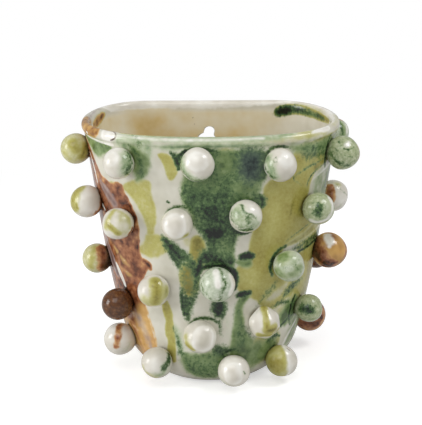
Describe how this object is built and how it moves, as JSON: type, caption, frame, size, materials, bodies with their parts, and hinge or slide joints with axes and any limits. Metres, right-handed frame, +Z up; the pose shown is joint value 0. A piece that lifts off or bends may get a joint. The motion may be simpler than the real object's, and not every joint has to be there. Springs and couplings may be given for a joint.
{
  "type": "wall planter",
  "caption": "Small glazed terracotta wall planter: an oval pot with a flat back and a screw keyhole, its front and sides set with hand-rolled clay balls.",
  "frame": {"origin": "on the underside of the foot, below the widest line of the mouth", "axes": "+Z up out of the mouth, +Y out of the flat back towards the wall that it hangs on, +X along the mouth's width"},
  "size_m": [0.2298, 0.161, 0.194],
  "materials": {
    "vessel_glaze": "glossy splashed glaze in cream, green, olive and brown",
    "cream_glaze": "glossy cream glaze with olive and green runs",
    "olive_glaze": "glossy olive glaze with cream runs",
    "green_glaze": "glossy mottled green glaze",
    "mint_glaze": "glossy pale green glaze with green mottling",
    "amber_glaze": "glossy amber glaze with a cream run",
    "brown_glaze": "glossy dark brown glaze"
  },
  "bodies": {
    "root": {"vessel": "vessel_glaze", "lower_nugget": "olive_glaze", "rim_ball_1": "olive_glaze", "rim_ball_2": "cream_glaze", "rim_ball_3": "cream_glaze", "rim_ball_4": "cream_glaze", "rim_ball_5": "green_glaze", "rim_ball_6": "mint_glaze", "upper_ball_1": "cream_glaze", "upper_ball_2": "cream_glaze", "upper_ball_3": "cream_glaze", "upper_ball_4": "cream_glaze", "upper_ball_5": "green_glaze", "upper_ball_6": "cream_glaze", "middle_ball_1": "olive_glaze", "middle_ball_2": "cream_glaze", "middle_ball_3": "mint_glaze", "middle_ball_4": "mint_glaze", "middle_ball_5": "amber_glaze", "middle_ball_6": "brown_glaze", "lower_ball_1": "brown_glaze", "lower_ball_2": "cream_glaze", "lower_ball_3": "green_glaze", "foot_ball_1": "cream_glaze", "foot_ball_2": "cream_glaze", "foot_ball_3": "cream_glaze", "foot_ball_4": "olive_glaze", "foot_ball_5": "brown_glaze"}
  },
  "joints": []
}
